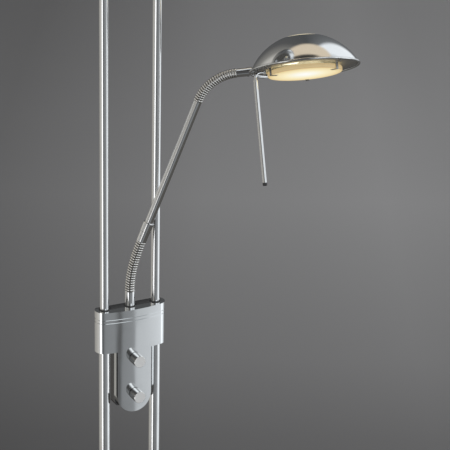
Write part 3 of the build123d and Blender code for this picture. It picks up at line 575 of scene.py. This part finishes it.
def hose_in_two(name, start, hose, joined):
    """Two lengths that meet near the middle of the hose, each taking in one of its two joints.

    The joints stand at a third and two thirds of the hose. Where a bend across each would end is worked out
    but not used: half a third to both sides of its joint, the second starting only where the two lengths
    meet.
    """
    meeting = hose_middle_rib / hose_ribs
    near = ribbed_length(name + "_low", start, hose, 0, hose_middle_rib)
    far = ribbed_length(name + "_high", start, hose, hose_middle_rib, hose_ribs)
    bend_ends = (1 / 6, 1 / 2, meeting, 5 / 6)
    at = [placed(along_hose(start, hose, share)).translation for share in bend_ends]
    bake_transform(near)
    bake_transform(far)
    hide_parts(joined + "_start", joined + "_middle")
    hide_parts(joined + "_end")


hose_in_two("ribbed_lower_hose", lower_start, lower_hose, "lower_hose")
hose_in_two("ribbed_upper_hose", rod_end, upper_hose, "upper_hose")


# --- studio ---------------------------------------------------------------------------------------
# The floor's painted light: (metres ahead of the camera, level), and (metres to the camera's right, factor).
floor_half_width = 60.0
pool_reach = 10.0
slope_reach = 1.0
floor_light_pool = (
    (4.2, 0.12), (4.6, 0.16), (5.1, 0.235), (5.7, 0.29), (6.4, 0.355), (7.3, 0.35), (9.0, 0.315),
)
floor_side_light = (
    (-0.85, 0.60), (-0.60, 0.72), (-0.30, 0.86), (-0.08, 1.0), (0.25, 1.08), (0.55, 1.18), (0.80, 1.10),
)

# What polished metal sees. Heights are in degrees above the level of the surround's middle. A pair of them
# is where one tone starts to give way to the next and where it has.
surround_radius = 30.0
surround_middle = 1.3
brightest = 3.0
ceiling = (0.80, 0.68, 0.52)
darkness = (0.05, 0.048, 0.045)
dark_ground = (0.10, 0.097, 0.09)
ground_up_to = (-31.0, -27.5)
low_panels_up_to = (-12.0, -5.0)
high_panels_up_to = (50.0, 58.0)
darkness_from = (42.0, 50.0)
darkness_past_far_wall = (80.0, 85.0)
warm = (1.00, 0.97, 0.90)
plain = (0.97, 0.97, 0.97)
cool = (0.93, 0.97, 1.0)

# Panels: (degrees round to the right from the camera's side, level, tint).
low_round = (
    (-180, 0.17, plain), (-150, 0.30, warm), (-110, 0.44, warm), (-85, 0.52, warm), (-64, 0.62, warm),
    (-50, 0.66, plain), (-44, 2.00, plain), (-30, 2.00, plain), (-24, 0.30, cool), (-12, 0.10, cool),
    (0, 0.20, cool), (14, 0.26, cool), (35, 0.29, cool), (39, 0.08, plain), (42, 0.28, cool),
    (52, 0.32, cool), (54, 0.60, cool), (64, 0.66, cool), (76, 0.78, cool), (86, 1.35, cool),
    (105, 1.20, cool), (124, 0.50, cool), (150, 0.15, plain), (180, 0.17, plain),
)
high_round = (
    (-180, 0.09, cool), (-160, 0.11, plain), (-140, 0.26, warm), (-128, 0.60, warm), (-100, 0.60, warm),
    (-88, 0.41, warm), (-40, 0.41, warm), (-20, 0.25, warm), (-8, 0.08, plain), (8, 0.08, plain),
    (18, 0.50, cool), (28, 1.30, cool), (44, 1.30, cool), (52, 0.45, cool), (62, 0.45, cool),
    (70, 1.20, cool), (90, 1.10, cool), (118, 0.60, cool), (130, 1.10, cool), (154, 1.10, cool),
    (161, 0.20, cool), (180, 0.09, cool),
)

# The photograph's camera, with its angles in radians.
camera_place = Vector((-1.118153, -2.391509, 2.32093))
camera_yaw = 0.488
camera_pitch = 0.361
camera_roll = 0.021
towards = Vector((
    math.sin(camera_yaw) * math.cos(camera_pitch),
    math.cos(camera_yaw) * math.cos(camera_pitch),
    -math.sin(camera_pitch),
))
rightwards = Vector((math.cos(camera_yaw), -math.sin(camera_yaw), 0.0))
upwards = rightwards.cross(towards)
turned_right = rightwards * math.cos(camera_roll) + upwards * math.sin(camera_roll)
turned_up = upwards * math.cos(camera_roll) - rightwards * math.sin(camera_roll)

lens = bpy.data.cameras.new("camera")
lens.sensor_width = 36.0
lens.lens = 160.0
lens.clip_end = 200.0
camera = bpy.data.objects.new("camera", lens)
bpy.context.scene.collection.objects.link(camera)
facing = Matrix((turned_right, turned_up, -towards)).transposed().to_4x4()
camera.matrix_world = Matrix.Translation(camera_place) @ facing
bpy.context.scene.camera = camera
bpy.context.scene.view_settings.view_transform = "Standard"


def stage_piece(name, mesh, finish):
    """A piece of the studio, which is no part of the lamp."""
    piece = new_piece(name, mesh, finish)
    return piece


def seen_only_in_metal(piece):
    """Leaves a studio piece to be seen by mirror and gloss rays alone."""
    piece.visible_camera = False
    piece.visible_diffuse = False
    piece.visible_shadow = False
    piece.visible_transmission = False


def floor_finish():
    """Grey paper under a painted pool of light beyond the lamp that fades towards the camera and to the left.
    """
    finish = Finish("floor", {"Specular IOR Level": 0.2})
    cloud = finish.noise(scale=0.7, detail=2.0)
    ahead = Vector((towards.x, towards.y, 0.0)).normalized()
    under_camera = (camera_place.x, camera_place.y, 0.0)
    distance = finish.dot(tuple(ahead), under_camera)
    aside = finish.dot(tuple(rightwards), under_camera)
    # Painted light: the grey rises into a pool of light ahead and falls off towards the camera and to the
    # left.
    pool = [(metres / pool_reach, (level,) * 3) for metres, level in floor_light_pool]
    slope = [((metres + slope_reach) / (2 * slope_reach), (level,) * 3) for metres, level in floor_side_light]
    depth = finish.add("ShaderNodeValToRGB", {"stops": pool}, {"Fac": distance / pool_reach})
    share_right = (aside + slope_reach) / (2 * slope_reach)
    width = finish.add("ShaderNodeValToRGB", {"stops": slope}, {"Fac": share_right})
    # The painted light, with a faint random cloud in the paper.
    level = depth * width * (0.98 + cloud * 0.04)
    grey = finish.add("ShaderNodeCombineColor", None, {0: level, 1: level, 2: level * 1.01})
    finish.paint("Base Color", grey)
    finish.paint("Roughness", 0.8 + cloud * 0.1)
    return finish.material


def panels(finish, turn, levels):
    """Light and dark panels round the lamp, by the angle from the camera's side.

    A ramp's colours stop at white, so levels are shares of the brightest, which the emission puts back.
    """
    stops = [((angle + 180) / 360, shade(tint, level / brightest)) for angle, level, tint in levels]
    return finish.add("ShaderNodeValToRGB", {"stops": stops}, {"Fac": turn / 360.0 + 0.5})


def surround_finish():
    """Panels by angle, over a dark ground and under a warm ceiling that is dark above the camera."""
    fixed = {
        "Roughness": 1.0,
        "Specular IOR Level": 0.0,
        "Base Color": (0, 0, 0),
        "Emission Strength": brightest,
    }
    finish = Finish("surround", fixed)
    middle = (0.0, 0.0, surround_middle)
    towards_camera = Vector((-towards.x, -towards.y, 0.0)).normalized()
    across = finish.dot(tuple(rightwards), middle)
    ahead = finish.dot(tuple(towards_camera), middle)
    height = finish.dot(along_z, middle)
    to_degrees = 180 / math.pi
    turn = across.angle_with(ahead) * to_degrees
    rise = height.angle_with((across ** 2.0 + ahead ** 2.0) ** 0.5) * to_degrees
    over = height.angle_with(ahead * -1.0) * to_degrees
    low_panels = panels(finish, turn, low_round)
    high_panels = panels(finish, turn, high_round)
    seen = finish.mixed(rise.between(*low_panels_up_to), low_panels, high_panels)
    seen = finish.mixed(rise.between(*high_panels_up_to), seen, shade(ceiling, 1 / brightest))
    above_camera = over.between(*darkness_past_far_wall) * rise.between(*darkness_from)
    seen = finish.mixed(above_camera, seen, shade(darkness, 1 / brightest))
    seen = finish.mixed(rise.between(*ground_up_to), shade(dark_ground, 1 / brightest), seen)
    finish.paint("Emission Color", seen)
    return finish.material


ground = bmesh.new()
bmesh.ops.create_grid(ground, x_segments=1, y_segments=1, size=floor_half_width)
stage_piece("floor", ground, floor_finish()).visible_glossy = False

surround = bmesh.new()
bmesh.ops.create_uvsphere(surround, u_segments=64, v_segments=32, radius=surround_radius)
bmesh.ops.translate(surround, vec=(0, 0, surround_middle), verts=surround.verts)
seen_only_in_metal(stage_piece("surround", surround, surround_finish()))

room_light = (0.42, 0.42, 0.425, 1.0)
world = bpy.data.worlds.new("studio")
world.use_nodes = True
world.node_tree.nodes["Background"].inputs["Color"].default_value = room_light
world.node_tree.nodes["Background"].inputs["Strength"].default_value = 1.0
bpy.context.scene.world = world


def soft_box(name, place, width, height, watts):
    """A soft lamp that faces the control box and stays out of the picture and the reflections."""
    lamp = bpy.data.lights.new(name, "AREA")
    lamp.shape = "RECTANGLE"
    lamp.size = width
    lamp.size_y = height
    lamp.energy = watts
    box = bpy.data.objects.new(name, lamp)
    box.location = place
    box.rotation_mode = "QUATERNION"
    box.rotation_quaternion = (Vector((0, 0, control_top)) - Vector(place)).to_track_quat("-Z", "Y")
    box.visible_camera = False
    box.visible_glossy = False
    bpy.context.scene.collection.objects.link(box)


soft_box("left_light", place=(-2.6, -1.6, 2.6), width=1.6, height=2.2, watts=70.0)
soft_box("right_light", place=(2.4, -2.0, 2.2), width=1.4, height=2.0, watts=40.0)
